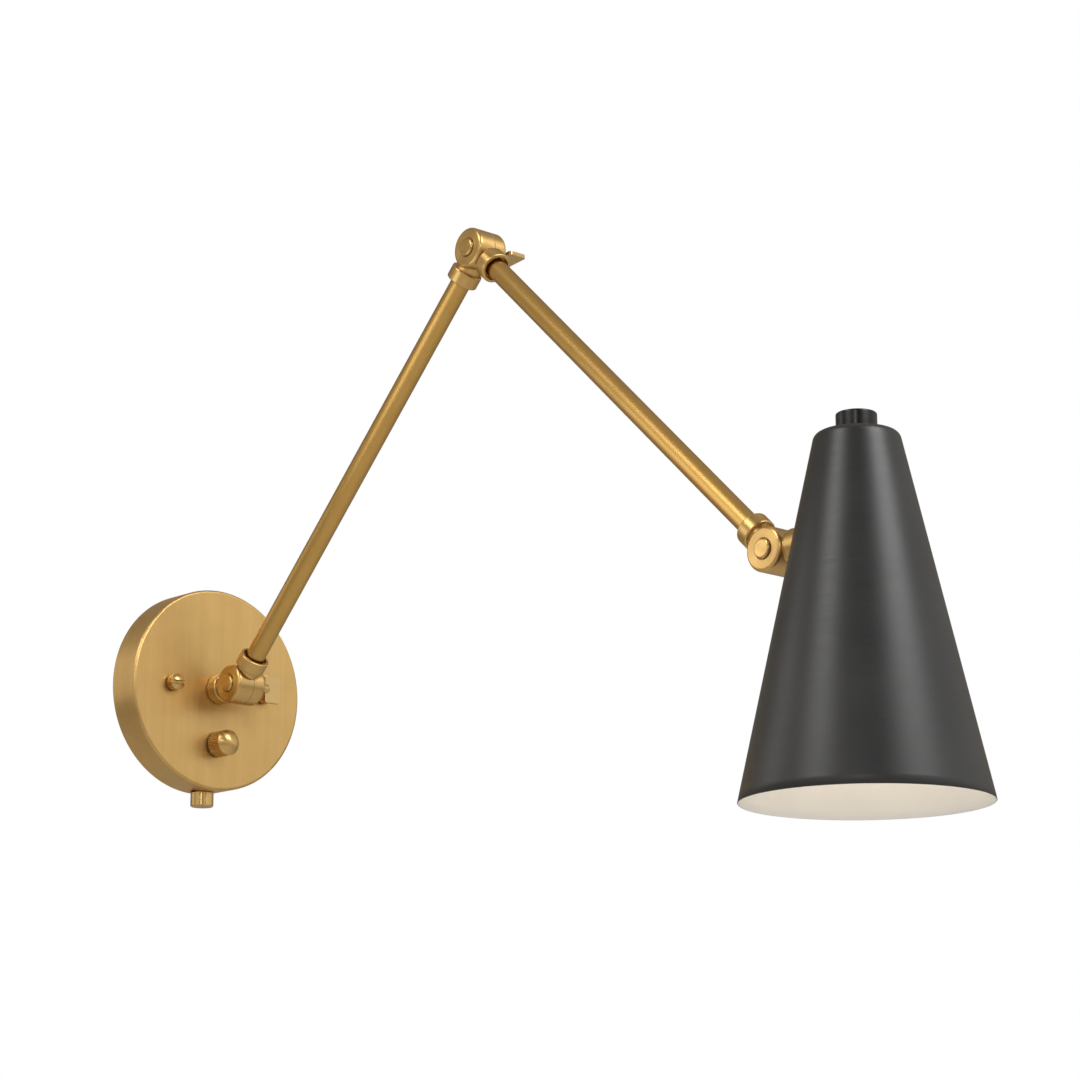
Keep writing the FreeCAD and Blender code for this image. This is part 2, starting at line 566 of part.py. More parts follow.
def knuckle_half(name, at, turn, side):
    """One half of a knuckle: a hollow barrel on the hinge axis and a cupped collar along its own Z.

    side is -1 for the plain half that the pivot screw's head sits in, and 1 for the half that the
    thumb screw goes into.  The neck straddles the split, so it is cut clear of the other half.
    """
    body = new_body("Knuckle")
    if side < 0:
        face, end, other_end = "left_face", "-barrel_left", "barrel_right"
    else:
        face, end, other_end = "right_face", "barrel_right", "-barrel_left"
    barrel = outline(body, "BarrelProfile", "XY_Plane", [
        (face, "0"),
        (end, "0"),
        (end, "barrel_rad"),
        (face, "barrel_rad"),
    ])
    spin(body, "Barrel", "Revolution", barrel, "H_Axis")
    rounding = "barrel_edge" if side < 0 else "barrel_round"
    soften(body, "Fillet", rounding, lambda s: circles(s, "barrel_rad", "x", end))
    body_bar(body, "Additive", "neck_rad", "collar_start + collar_edge", (0, 0, 0), "+z")
    body_bar(body, "Additive", "collar_rad", "collar_high", (0, 0, "collar_start"), "+z")
    for rim in ("collar_start", "collar_end"):
        soften(body, "Fillet", "collar_edge", lambda s: circles(s, "collar_rad", "z", rim))
    relief = outline(body, "ReliefProfile", "XY_Plane", [
        (face, "0"),
        (other_end, "0"),
        (other_end, "barrel_rad + neck_relief"),
        (face, "barrel_rad + neck_relief"),
    ])
    spin(body, "Relief", "Groove", relief, "H_Axis")
    wall = f"{end} - {side} * end_wall"
    cavity = outline(body, "CavityProfile", "XY_Plane", [
        (face, "hub_rad"),
        (wall, "hub_rad"),
        (wall, "barrel_rad - barrel_wall"),
        (face, "barrel_rad - barrel_wall"),
    ])
    spin(body, "Cavity", "Groove", cavity, "H_Axis")
    body_bar(body, "Subtractive", "cup_rad", "cup_deep", (0, 0, "seat"), "+z")
    body_bar(body, "Subtractive", "nipple_rad", "collar_end - hub_rad - barrel_wall",
             (0, 0, "hub_rad + barrel_wall"), "+z")
    if side < 0:
        run = "barrel_left + left_face"
        body_bar(body, "Subtractive", "pivot_rad + turn_gap", run, ("-barrel_left", 0, 0), "+x")
        body_bar(body, "Subtractive", "sink_rad", "sink_deep", ("-barrel_left", 0, 0), "+x")
    else:
        body_bar(body, "Subtractive", "pivot_rad", "pivot_reach - right_face", ("right_face", 0, 0), "+x")
        run = "barrel_right - pivot_reach"
        body_bar(body, "Subtractive", "thumb_rad + turn_gap", run, ("pivot_reach", 0, 0), "+x")
    return subpart(body, name, at, turn)


def pivot_screw(name, at):
    """Domed pivot screw: its shank carries the plain half and is fixed in the other one."""
    body = new_body("PivotScrew")
    head = "-(barrel_left + pivot_head_proud)"
    shoulder = "-(barrel_left - sink_deep)"
    profile = outline(body, "ScrewProfile", "XY_Plane", [
        (head, "0"),
        (head, "pivot_head_rad"),
        (shoulder, "pivot_head_rad"),
        (shoulder, "pivot_rad"),
        ("pivot_reach", "pivot_rad"),
        ("pivot_reach", "0"),
    ])
    spin(body, "Screw", "Revolution", profile, "H_Axis")
    soften(body, "Fillet", "pivot_head_edge", lambda s: circles(s, "pivot_head_rad", "x", head))
    return subpart(body, name, at, "0")


def friction_washer(name, at):
    """Thin washer between the two hubs of a knuckle."""
    return subpart(ring("hub_rad", "pivot_rad", "split_gap", ("left_face", 0, 0), "+x"), name, at, "0")


def thumb_screw(name, at, turn, backed):
    """Thumb screw: a round shank whose tip presses on the pivot screw, and a flat plate to turn it by."""
    body = new_body("ThumbScrew")
    inner, outer = f"pivot_reach + thumb_neck + {backed}", f"pivot_reach + thumb_neck + thumb_wide + {backed}"
    plate = outline(body, "PlateProfile", "XZ_Plane", [
        (inner, "-thumb_high / 2"),
        (outer, "-thumb_high / 2"),
        (outer, "thumb_high / 2"),
        (inner, "thumb_high / 2"),
    ])
    pad = body.newObject("PartDesign::Pad", "Plate")
    pad.Profile = plate
    pad.Midplane = True
    bind(pad, Length="thumb_thick")

    def corners(shape):
        return [f"Edge{i}" for i, e in enumerate(shape.Edges, start=1)
                if abs(e.Length - number("thumb_thick")) < 1e-4]

    soften(body, "Fillet", "thumb_corner", corners)
    body_bar(body, "Additive", "thumb_rad", "thumb_neck + thumb_boss", (f"pivot_reach + {backed}", 0, 0), "+x")
    boss_end = f"{inner} + thumb_boss"
    soften(body, "Chamfer", "thumb_rad / 2", lambda s: circles(s, "thumb_rad", "x", boss_end))
    return subpart(body, name, at, turn)


# ---------------------------------------------------------------- arms

def arm_pieces(prefix, at, turn):
    """One arm between two hinges: its tube, the nipples at both ends and the lead inside."""
    run = "arm_long - 2 * seat"
    subpart(ring("tube_rad", "nipple_rad", run, (0, 0, "seat")), f"{prefix}_tube", at, turn)
    length = "seat - nipple_root + nipple_grip"
    nipples = [
        ring("nipple_rad", "nipple_bore", length, (0, 0, "nipple_root")),
        ring("nipple_rad", "nipple_bore", length, (0, 0, f"arm_long - nipple_root - ({length})")),
    ]
    subpart(group(nipples), f"{prefix}_nipples", at, turn)
    lead = round_bar("lead_rad", "arm_long - 2 * nipple_root", (0, 0, "nipple_root"))
    subpart(group([lead]), f"{prefix}_lead", at, turn)


def swivel_stem():
    """Canopy side of the base knuckle: it turns in the canopy on a nipple, washers and a lock nut."""
    knuckle_half("canopy_knuckle", BASE, TO_WALL, -1)
    face_at = "collar_end"
    subpart(ring("swivel_washer_rad", "nipple_rad", "swivel_washer", (0, 0, face_at)),
            "swivel_bearing_washer", BASE, TO_WALL)
    inside = "(collar_end + swivel_washer + canopy_wall)"
    subpart(ring("spring_washer_rad", "nipple_rad", "spring_washer", (0, 0, inside)),
            "swivel_spring_washer", BASE, TO_WALL)
    nut = hex_nut("nipple_nut_rad", "nipple_rad", "nipple_nut_high", (0, 0, f"{inside} + spring_washer"))
    subpart(nut, "swivel_locknut", BASE, TO_WALL)
    run = f"{inside} + spring_washer + nipple_nut_high + nipple_end - nipple_root"
    subpart(ring("nipple_rad", "nipple_bore", run, (0, 0, "nipple_root")), "swivel_nipple", BASE, TO_WALL)
    lead = round_bar("lead_rad", f"{inside} - nipple_root", (0, 0, "nipple_root"))
    subpart(group([lead]), "swivel_lead", BASE, TO_WALL)


def shade_stem():
    """Shade side of the shade knuckle: the shade turns on its nipple, held by a washer and lock nut."""
    knuckle_half("shade_knuckle", HEAD, TO_SHADE, -1)
    subpart(ring("spring_washer_rad", "nipple_rad", "spring_washer", (0, 0, "saddle_seat")),
            "shade_spring_washer", HEAD, TO_SHADE)
    nut = hex_nut("nipple_nut_rad", "nipple_rad", "nipple_nut_high", (0, 0, "saddle_seat + spring_washer"))
    subpart(nut, "shade_locknut", HEAD, TO_SHADE)
    run = "saddle_seat + spring_washer + nipple_nut_high + nipple_end - nipple_root"
    subpart(ring("nipple_rad", "nipple_bore", run, (0, 0, "nipple_root")), "shade_stem_nipple", HEAD, TO_SHADE)


# ---------------------------------------------------------------- shade, socket and bulb

def shade_shell():
    """Spun cone shade with a flat top, drilled for the stem and for the socket's nipple."""
    body = new_body("Shade")
    inside_top = "(shade_rise - shade_wall)"
    inside_rad = f"shade_rad - shade_skin - shade_tan * (shade_drop + {inside_top})"
    shell = outline(body, "ShadeProfile", "XZ_Plane", [
        ("0", "shade_rise"),
        ("shade_top_rad", "shade_rise"),
        ("shade_rad", "-shade_drop"),
        ("shade_rad - shade_skin", "-shade_drop"),
        (inside_rad, inside_top),
        ("0", inside_top),
    ])
    spin(body, "Shell", "Revolution", shell, "V_Axis")
    soften(body, "Fillet", "shade_corner", lambda s: circles(s, "shade_top_rad", "z", "shade_rise"))
    soften(body, "Fillet", "shade_corner - shade_wall", lambda s: circles(s, inside_rad, "z", inside_top))
    body_bar(body, "Subtractive", "nipple_rad", "2 * shade_wall", (0, 0, "shade_rise - 2 * shade_wall"), "+z")
    body_bar(body, "Subtractive", "nipple_rad + turn_gap", "shade_reach - collar_end",
             (0, "shade_reach - collar_end - nipple_grip", 0), "+y")
    return subpart(body, "shade", SHADE, "0")


def shade_cone(skin):
    """Solid cone in the shade's frame that its outer face (skin 0) or inner face (skin 1) lies on."""
    low = f"shade_rad - {skin} * shade_skin"
    high = f"shade_top_rad - {skin} * shade_skin"
    return taper(low, high, "shade_drop + shade_rise", (0, 0, "-shade_drop"))


def shade_saddles():
    """Two saddles that square the sloping shade wall to the stem, one outside and one inside."""
    outside = cut(
        round_bar("saddle_rad", "nipple_grip", (0, "shade_reach - collar_end", 0), "-y"),
        [shade_cone(0), round_bar("nipple_rad + turn_gap", "nipple_grip", (0, "shade_reach - collar_end", 0), "-y")],
    )
    subpart(outside, "shade_outer_saddle", SHADE, "0")
    blank = cut(
        round_bar("saddle_rad", "nipple_grip", (0, "shade_reach - saddle_seat", 0), "+y"),
        [round_bar("nipple_rad + turn_gap", "nipple_grip", (0, "shade_reach - saddle_seat", 0), "+y")],
    )
    subpart(common(blank, shade_cone(1)), "shade_inner_saddle", SHADE, "0")


def shade_top_cap():
    """Turned cap that clamps the shade's flat top on the socket's nipple."""
    body = new_body("TopCap")
    profile = outline(body, "CapProfile", "XZ_Plane", [
        ("nipple_rad", "shade_rise"),
        ("top_cap_rad", "shade_rise"),
        ("top_cap_rad", "shade_rise + top_cap_high"),
        ("0", "shade_rise + top_cap_high"),
        ("0", "shade_rise + top_cap_bore"),
        ("nipple_rad", "shade_rise + top_cap_bore"),
    ])
    spin(body, "Cap", "Revolution", profile, "V_Axis")
    top = "shade_rise + top_cap_high"
    soften(body, "Fillet", "top_cap_edge", lambda s: circles(s, "top_cap_rad", "z", top))
    return subpart(body, "shade_top_cap", SHADE, "0")


def socket():
    """Medium screw socket hung under the shade's top: nipple, lock nut, cup, body, shell and contact."""
    low = "(socket_top - socket_roof)"
    run = f"shade_rise + top_cap_bore - {low}"
    subpart(ring("nipple_rad", "nipple_bore", run, (0, 0, low)), "socket_nipple", SHADE, "0")
    under = "shade_rise - shade_wall - nipple_nut_high"
    subpart(hex_nut("nipple_nut_rad", "nipple_rad", "nipple_nut_high", (0, 0, under)),
            "socket_locknut", SHADE, "0")
    cup = cut(
        round_bar("socket_cup_rad", "socket_cup_high", (0, 0, "socket_top - socket_cup_high")),
        [
            round_bar("socket_cup_rad - socket_cup_wall", "socket_cup_high - socket_cup_wall",
                      (0, 0, "socket_top - socket_cup_high")),
            round_bar("nipple_rad", "socket_cup_high", (0, 0, "socket_top - socket_cup_high")),
            round_bar("lead_rad + hole_gap", "socket_cup_rad", (0, 0, f"{low} + socket_roof / 2"), "+y"),
        ],
    )
    subpart(cup, "socket_cup", SHADE, "0")
    body_rad = "socket_cup_rad - socket_cup_wall - socket_gap"
    foot = f"{low} - socket_high"
    body = cut(
        round_bar(body_rad, "socket_high", (0, 0, foot)),
        [round_bar(f"{body_rad} - socket_wall", "socket_high - socket_floor", (0, 0, foot))],
    )
    subpart(body, "socket_body", SHADE, "0")
    roof = f"({low} - socket_floor)"
    liner = ring("liner_rad", "liner_rad - liner_wall", "liner_long", (0, 0, f"{roof} - liner_long"))
    subpart(liner, "socket_screw_shell", SHADE, "0")
    contact = round_bar("contact_rad", "contact_high", (0, 0, f"{roof} - contact_high"))
    subpart(group([contact]), "socket_centre_contact", SHADE, "0")


def bulb():
    """Screw-base light bulb: contact tip, threaded base, housing, light board and frosted globe."""
    tip_top = "(socket_top - socket_roof - socket_floor - contact_high)"
    tip_high = "bulb_tip_rad / 2"
    base_top = f"({tip_top} - {tip_high})"
    tip = taper("bulb_tip_rad", "contact_rad", tip_high, (0, 0, base_top))
    subpart(group([tip]), "bulb_contact_tip", SHADE, "0")
    base = cut(
        round_bar("bulb_base_rad", "bulb_base_long", (0, 0, f"{base_top} - bulb_base_long")),
        [round_bar("bulb_base_rad - liner_wall", "bulb_base_long - liner_wall",
                   (0, 0, f"{base_top} - bulb_base_long"))],
    )
    subpart(base, "bulb_screw_base", SHADE, "0")
    neck = f"({base_top} - bulb_base_long - bulb_neck_long)"
    wide = "bulb_rad - 2 * bulb_wall"
    low = f"{neck} - bulb_body_long"
    shell = join([
        round_bar("bulb_base_rad", "bulb_neck_long", (0, 0, neck)),
        taper(wide, "bulb_base_rad", "bulb_body_long", (0, 0, low)),
    ])
    hollow = taper(f"{wide} - bulb_wall", "bulb_base_rad - 2 * bulb_wall", "bulb_body_long", (0, 0, low))
    throat = round_bar("bulb_base_rad - 2 * bulb_wall", "bulb_neck_long", (0, 0, neck))
    subpart(cut(shell, [hollow, throat]), "bulb_housing", SHADE, "0")
    board = round_bar(f"{wide} - 2 * bulb_wall", "board_thick", (0, 0, low))
    subpart(group([board]), "bulb_light_board", SHADE, "0")
    centre = f"{low} - sqrt(bulb_rad * bulb_rad - ({wide}) * ({wide}))"
    globe = cut(
        ball("bulb_rad", (0, 0, centre)),
        [ball("bulb_rad - bulb_wall", (0, 0, centre)),
         round_bar("bulb_rad", "bulb_rad * 2", (0, 0, low))],
    )
    subpart(globe, "bulb_globe", SHADE, "0")


# ---------------------------------------------------------------- wiring

def soft_tube(points, bend, radius):
    """A round tube along straight runs joined by tangent arcs of one bend radius."""
    spots = [Vector(*p) for p in points]
    edges = []
    start = spots[0]
    for before, corner, after in zip(spots, spots[1:], spots[2:]):
        back = (before - corner).normalize()
        on = (after - corner).normalize()
        half = back.getAngle(on) / 2
        trim = bend / math.tan(half)
        first = corner + back * trim
        last = corner + on * trim
        inward = (back + on).normalize()
        middle = corner + inward * (bend / math.sin(half) - bend)
        edges.append(Part.LineSegment(start, first).toShape())
        edges.append(Part.Arc(first, middle, last).toShape())
        start = last
    edges.append(Part.LineSegment(start, spots[-1]).toShape())
    path = Part.Wire(edges)
    section = Part.Wire(Part.makeCircle(radius, spots[0], spots[1] - spots[0]))
    return path.makePipeShell([section], True, True)


def canopy_wiring():
    """Three wire nuts, the pair from the stem to two of them, and the two wires of the switch."""
    y, wire, space = number("inside_y / 2"), number("wire_rad"), number("wire_space")
    near, far = number("wire_nut_x"), number("wire_nut_far")
    high, low, switch_z = number("wire_nut_z"), number("-wire_nut_drop"), number("-knob_drop")
    nuts = []
    for x, z in ((-near, high), (near, high), (far, low)):
        nuts.append(taper("wire_nut_rad", "wire_nut_tip", "wire_nut_long", (x, y, z)))
    subpart(group(nuts), "wire_nuts")

    routes = []
    for side in (-1, 1):
        x = side * (near - space)
        tail = number("inside_y + wire_rad * 2")
        routes.append([(x, y, high), (x, y, high / 2), (side * space, y, high / 2), (side * space, y, 0),
                       (side * space, tail, 0)])
    outer = -near - space
    edge = number("switch_rad")
    routes.append([(outer, y, high), (outer, y, switch_z), (-edge, y, switch_z)])
    routes.append([(far, y, low), (far, y, switch_z), (edge, y, switch_z)])
    wires = []
    for route in routes:
        item = doc.addObject("Part::Feature", "Wire")
        item.Shape = soft_tube(route, number("wire_bend"), wire)
        wires.append(item)
    subpart(group(wires), "canopy_wires")


def socket_lead():
    """Two-core lead: out of the stem's nipple, up beside the socket, and in through the cup's side."""
    lead = doc.addObject("Part::Feature", "SocketLead")
    start = number("shade_reach - nipple_root")
    nipple_inside = "saddle_seat + spring_washer + nipple_nut_high + nipple_end"
    beside = number(f"shade_reach - ({nipple_inside}) - lead_rad - hole_gap")
    high = number("socket_top - socket_roof / 2")
    into = number("nipple_rad + lead_rad + hole_gap")
    route = [(0, start, 0), (0, beside, 0), (0, beside, high), (0, into, high)]
    lead.Shape = soft_tube(route, number("wire_bend"), number("lead_rad"))
    return subpart(lead, "socket_lead", SHADE, "0")


# ---------------------------------------------------------------- the whole lamp

def build():
    canopy()
    mounting_strap()
    strap_fasteners()
    rotary_switch()
    dimmer_knob()
    cord_outlet()
    swivel_stem()
    knuckle_half("inner_arm_base_knuckle", BASE, INNER_OUT, 1)
    knuckle_half("inner_arm_elbow_knuckle", ELBOW, INNER_BACK, -1)
    arm_pieces("inner_arm", BASE, INNER_OUT)
    knuckle_half("outer_arm_elbow_knuckle", ELBOW, OUTER_OUT, 1)
    knuckle_half("outer_arm_shade_knuckle", HEAD, OUTER_BACK, 1)
    arm_pieces("outer_arm", ELBOW, OUTER_OUT)
    shade_stem()
    for name, at in (("base", BASE), ("elbow", ELBOW), ("shade", HEAD)):
        pivot_screw(f"{name}_pivot_screw", at)
        friction_washer(f"{name}_friction_washer", at)
    thumb_screw("base_thumb_screw", BASE, "0", "thumb_backed")
    thumb_screw("elbow_thumb_screw", ELBOW, "elbow_thumb_turn", "0")
    thumb_screw("shade_thumb_screw", HEAD, "shade_thumb_turn", "0")
    shade_shell()
    shade_saddles()
    shade_top_cap()
    socket()
    bulb()
    socket_lead()
    canopy_wiring()


def check():
    doc.recompute()
    for item in doc.Objects:
        if "Invalid" in item.State or "Error" in item.State:
            raise RuntimeError(f"{item.Name} ({item.Label}) failed: {item.State}")
    for item in SUBPARTS:
        if item.Shape.isNull() or not item.Shape.isValid() or not item.Shape.Solids:
            raise RuntimeError(f"{item.Label} has no valid solid")


def write():
    os.makedirs("parts", exist_ok=True)
    for item in SUBPARTS:
        item.Shape.exportStep(f"parts/{item.Label}.step")
    print(len(SUBPARTS), "sub-parts written")


fill_sheet()
build()
check()
write()
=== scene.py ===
import json
import math

import bmesh
import bpy
from mathutils import Euler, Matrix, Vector


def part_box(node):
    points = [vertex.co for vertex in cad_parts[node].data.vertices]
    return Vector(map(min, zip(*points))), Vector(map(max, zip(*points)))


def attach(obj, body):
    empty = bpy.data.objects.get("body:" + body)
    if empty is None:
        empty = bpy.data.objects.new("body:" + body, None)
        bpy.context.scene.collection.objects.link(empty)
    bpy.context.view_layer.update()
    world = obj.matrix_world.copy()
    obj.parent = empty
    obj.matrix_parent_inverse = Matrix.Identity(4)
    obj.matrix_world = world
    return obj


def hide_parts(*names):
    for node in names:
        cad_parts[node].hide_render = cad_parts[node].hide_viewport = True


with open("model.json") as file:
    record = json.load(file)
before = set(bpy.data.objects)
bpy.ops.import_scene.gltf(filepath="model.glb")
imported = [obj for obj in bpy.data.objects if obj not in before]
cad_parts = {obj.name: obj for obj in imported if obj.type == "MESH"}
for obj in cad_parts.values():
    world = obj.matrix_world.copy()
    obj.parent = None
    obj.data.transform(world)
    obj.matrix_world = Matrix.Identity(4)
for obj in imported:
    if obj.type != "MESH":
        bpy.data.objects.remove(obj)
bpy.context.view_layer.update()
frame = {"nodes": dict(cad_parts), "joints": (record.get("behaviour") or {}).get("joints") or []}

# ------------------------------------------------------------------ canopy
# A dish spun from 1.2 mm brass, brushed straight up and down and lacquered.  It covers the wiring and
# hangs on two studs, held by the slotted cap nuts.


def node(tree, kind, inputs=None, **settings):
    """Add a shader node, set its settings, and link or set its inputs."""
    made = tree.nodes.new("ShaderNode" + kind)
    for key, value in settings.items():
        setattr(made, key, value)
    for key, value in (inputs or {}).items():
        if isinstance(value, bpy.types.NodeSocket):
            tree.links.new(value, made.inputs[key])
        else:
            made.inputs[key].default_value = value
    return made


def new_finish(name):
    """A new material with one Principled shader."""
    material = bpy.data.materials.new(name)
    material.use_nodes = True
    return material, material.node_tree, material.node_tree.nodes["Principled BSDF"]


def maths(tree, operation, first, second=0.0):
    """One sum on one or two values."""
    return node(tree, "Math", {0: first, 1: second}, operation=operation).outputs[0]


def spread(tree, value, from_low, from_high, low, high):
    """Map a value from one range to another, held to the new range."""
    sizes = {"Value": value, "From Min": from_low, "From Max": from_high, "To Min": low, "To Max": high}
    return node(tree, "MapRange", sizes).outputs["Result"]


def blend_colour(tree, factor, first, second):
    """A colour between two others; 0, 6 and 7 are the colour sockets of the Mix node."""
    return node(tree, "Mix", {0: factor, 6: first, 7: second}, data_type="RGBA").outputs[2]


def placed(tree, centre, turn):
    """Coordinates of a piece measured from its own centre, its own Z along its own axis."""
    own = node(tree, "TexCoord").outputs["Object"]
    return node(tree, "Mapping", {"Vector": own, "Location": centre, "Rotation": turn},
                vector_type="TEXTURE").outputs[0]


def turning_marks(tree, centre, turn):
    """Fine lines that run round an axis, as a lathe tool or a spun brush leaves them."""
    spot = node(tree, "SeparateXYZ", {0: placed(tree, centre, turn)})
    x, y, z = spot.outputs
    squared = maths(tree, "ADD", maths(tree, "MULTIPLY", x, x), maths(tree, "MULTIPLY", y, y))
    out = maths(tree, "SQRT", squared)
    drift = maths(tree, "MULTIPLY", maths(tree, "ADD", x, y), 0.045)
    return node(tree, "CombineXYZ", {0: out, 1: z, 2: drift}).outputs[0]


def straight_marks(tree, centre, turn):
    """Fine lines that run along a piece's own Z."""
    return node(tree, "VectorMath", {0: placed(tree, centre, turn), 1: (1, 1, 0.02)},
                operation="MULTIPLY").outputs[0]


def across_marks(tree, marks, centre, turn):
    """The way across the tool lines, which a highlight is drawn out along."""
    axis = Euler(turn).to_matrix() @ Vector((0, 0, 1))
    own = node(tree, "TexCoord").outputs["Object"]
    out = node(tree, "VectorMath", {0: own, 1: centre}, operation="SUBTRACT").outputs[0]
    if marks is straight_marks:
        line = node(tree, "VectorMath", {0: axis, 1: (1, 1, 1)}, operation="MULTIPLY").outputs[0]
    else:
        line = node(tree, "VectorMath", {0: axis, 1: out}, operation="CROSS_PRODUCT").outputs[0]
    line = node(tree, "VectorTransform", {0: line}, vector_type="VECTOR", convert_from="OBJECT",
                convert_to="WORLD").outputs[0]
    plain = node(tree, "NewGeometry").outputs["Normal"]
    return node(tree, "VectorMath", {0: plain, 1: line}, operation="CROSS_PRODUCT").outputs[0]


BRASS = ((0.45, 0.26, 0.072, 1), (0.62, 0.395, 0.142, 1), (0.79, 0.59, 0.28, 1))
# A lighter copy of the brass for the thumb screws: painted light for the stronger light on their wings.
PAINTED_HIGHLIGHT_BRASS = ((0.52, 0.325, 0.105, 1), (0.67, 0.455, 0.18, 1), (0.85, 0.66, 0.34, 1))


def metal(name, marks, centre=(0, 0, 0), turn=(0, 0, 0), colours=BRASS, rough=(0.34, 0.46), grain=0.10,
          edge=0.00035, sweep=0.2):
    """Worked metal: fine tool lines, slow patches of patina and a painted highlight along the edges."""
    material, tree, shader = new_finish(name)
    dark, middle, bright = colours
    lines = marks(tree, centre, turn)
    fine = node(tree, "TexNoise", {"Vector": lines, "Scale": 2800.0, "Detail": 3.0, "Roughness": 0.6})
    broad = node(tree, "TexNoise", {"Vector": lines, "Scale": 420.0, "Detail": 2.0, "Roughness": 0.5})
    own = node(tree, "TexCoord").outputs["Object"]
    patina = node(tree, "TexNoise", {"Vector": own, "Scale": 55.0, "Detail": 4.0, "Roughness": 0.55})
    mixed = maths(tree, "ADD", maths(tree, "MULTIPLY", fine.outputs[0], 0.6),
                  maths(tree, "MULTIPLY", broad.outputs[0], 0.4))
    tone = spread(tree, patina.outputs[0], 0.3, 0.7, 0.0, 0.22)
    colour = blend_colour(tree, tone, middle, dark)
    bands = node(tree, "TexNoise", {"Vector": lines, "Scale": 90.0, "Detail": 3.0, "Roughness": 0.6})
    colour = blend_colour(tree, spread(tree, bands.outputs[0], 0.35, 0.7, 0.0, sweep), colour, dark)
    streak = spread(tree, mixed, 0.35, 0.65, 0.0, 0.15)
    colour = blend_colour(tree, streak, colour, bright)
    rounded = node(tree, "Bevel", {"Radius": edge}, samples=6).outputs[0]
    plain = node(tree, "NewGeometry").outputs["Normal"]
    facing = node(tree, "VectorMath", {0: rounded, 1: plain}, operation="DOT_PRODUCT").outputs["Value"]
    # Where the rounded normal parts from the flat one, the colour is lifted to bright: a painted edge
    # highlight.
    painted_edge_highlight = spread(tree, facing, 0.995, 0.90, 0.0, 0.75)
    colour = blend_colour(tree, painted_edge_highlight, colour, bright)
    bump = node(tree, "Bump", {"Height": mixed, "Normal": rounded, "Strength": grain, "Distance": 0.0002})
    roughness = spread(tree, mixed, 0.3, 0.7, rough[0], rough[1])
    tree.links.new(colour, shader.inputs["Base Color"])
    tree.links.new(roughness, shader.inputs["Roughness"])
    tree.links.new(bump.outputs[0], shader.inputs["Normal"])
    tree.links.new(across_marks(tree, marks, centre, turn), shader.inputs["Tangent"])
    shader.inputs["Anisotropic"].default_value = 0.6
    shader.inputs["Metallic"].default_value = 1.0
    shader.inputs["Coat Weight"].default_value = 0.12
    shader.inputs["Coat Roughness"].default_value = 0.28
    return material


def middle_of(name):
    """The middle of a CAD piece's box."""
    low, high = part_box(name)
    return (low + high) / 2


def dress(name, material):
    """Give a CAD piece its finish in every material slot."""
    for held in frame["nodes"][name].material_slots:
        held.material = material


SMALL_EDGE = 0.0002
ALONG_X = (0, math.pi / 2, 0)
ALONG_Y = (math.pi / 2, 0, 0)
UPRIGHT = (0, 0, 0)


dress("canopy", metal("canopy_brass", straight_marks, rough=(0.34, 0.46), grain=0.05, edge=0.0008, sweep=0.3))

# ------------------------------------------------------------------ canopy cap nuts
# Two turned brass cap nuts with a screwdriver slot across the dome, run down on the canopy's studs.
# They are polished a little finer than the canopy.

dress("canopy_cap_nuts", metal("cap_nut_brass", turning_marks, middle_of("canopy_cap_nuts"), ALONG_Y,
                               rough=(0.22, 0.34), edge=SMALL_EDGE))

# ------------------------------------------------------------------ knob
# Turned brass knob of the rotary switch, grooved along its side for the fingers.  It is pressed on the
# switch's brass shaft, which comes through the canopy.

dress("dimmer_knob", metal("knob_brass", turning_marks, middle_of("dimmer_knob"), ALONG_Y,
                           rough=(0.26, 0.38), edge=SMALL_EDGE))
dress("switch_shaft", metal("shaft_brass", turning_marks, middle_of("switch_shaft"), ALONG_Y,
                            edge=SMALL_EDGE))

# ------------------------------------------------------------------ cord outlet
# Turned brass cap that closes the cord outlet in the canopy's lower rim.  It screws on a threaded nipple,
# which a lock nut holds inside the rim.

for name in ("cord_outlet_cap", "cord_outlet_nipple", "cord_outlet_locknut"):
    dress(name, metal(name + "_brass", turning_marks, middle_of(name), UPRIGHT, rough=(0.18, 0.28),
                      edge=SMALL_EDGE))

# ------------------------------------------------------------------ knuckles
# Cast and turned brass halves, brushed round the barrel, each with a cupped collar for a tube or a stem.
# Two halves meet face to face at each hinge, drawn together by the pivot screw and the thumb screw.

joints = {joint["name"]: joint for joint in frame["joints"]}
KNUCKLES = {
    "base_hinge": ("canopy_knuckle", "inner_arm_base_knuckle"),
    "elbow_hinge": ("inner_arm_elbow_knuckle", "outer_arm_elbow_knuckle"),
    "shade_hinge": ("shade_knuckle", "outer_arm_shade_knuckle"),
}
for joint, halves in KNUCKLES.items():
    at = Vector(joints[joint]["pos_m"])
    finish = metal(joint + "_brass", turning_marks, at, ALONG_X, rough=(0.30, 0.42))
    for name in halves:
        dress(name, finish)

# ------------------------------------------------------------------ pivot screws and thumb screws
# Turned brass pivot screws with a low rounded head, and thumb screws with a flat milled wing.
# They are handled and rubbed, so they are shinier than the knuckles, and the thumb screws get a lighter
# brass, which is painted light.

for place in ("base", "elbow", "shade"):
    at = Vector(joints[place + "_hinge"]["pos_m"])
    dress(place + "_pivot_screw", metal(place + "_pivot_brass", turning_marks, at, ALONG_X,
                                        rough=(0.25, 0.36)))
    dress(place + "_thumb_screw", metal(place + "_thumb_brass", straight_marks, at, ALONG_X, PAINTED_HIGHLIGHT_BRASS,
                                        rough=(0.26, 0.38), edge=0.0004))

# ------------------------------------------------------------------ arms
# Drawn 12 mm brass tube, brushed along its length and a little darker than the castings it screws into.
# Each end stands in the cup of a knuckle's collar on a threaded nipple.

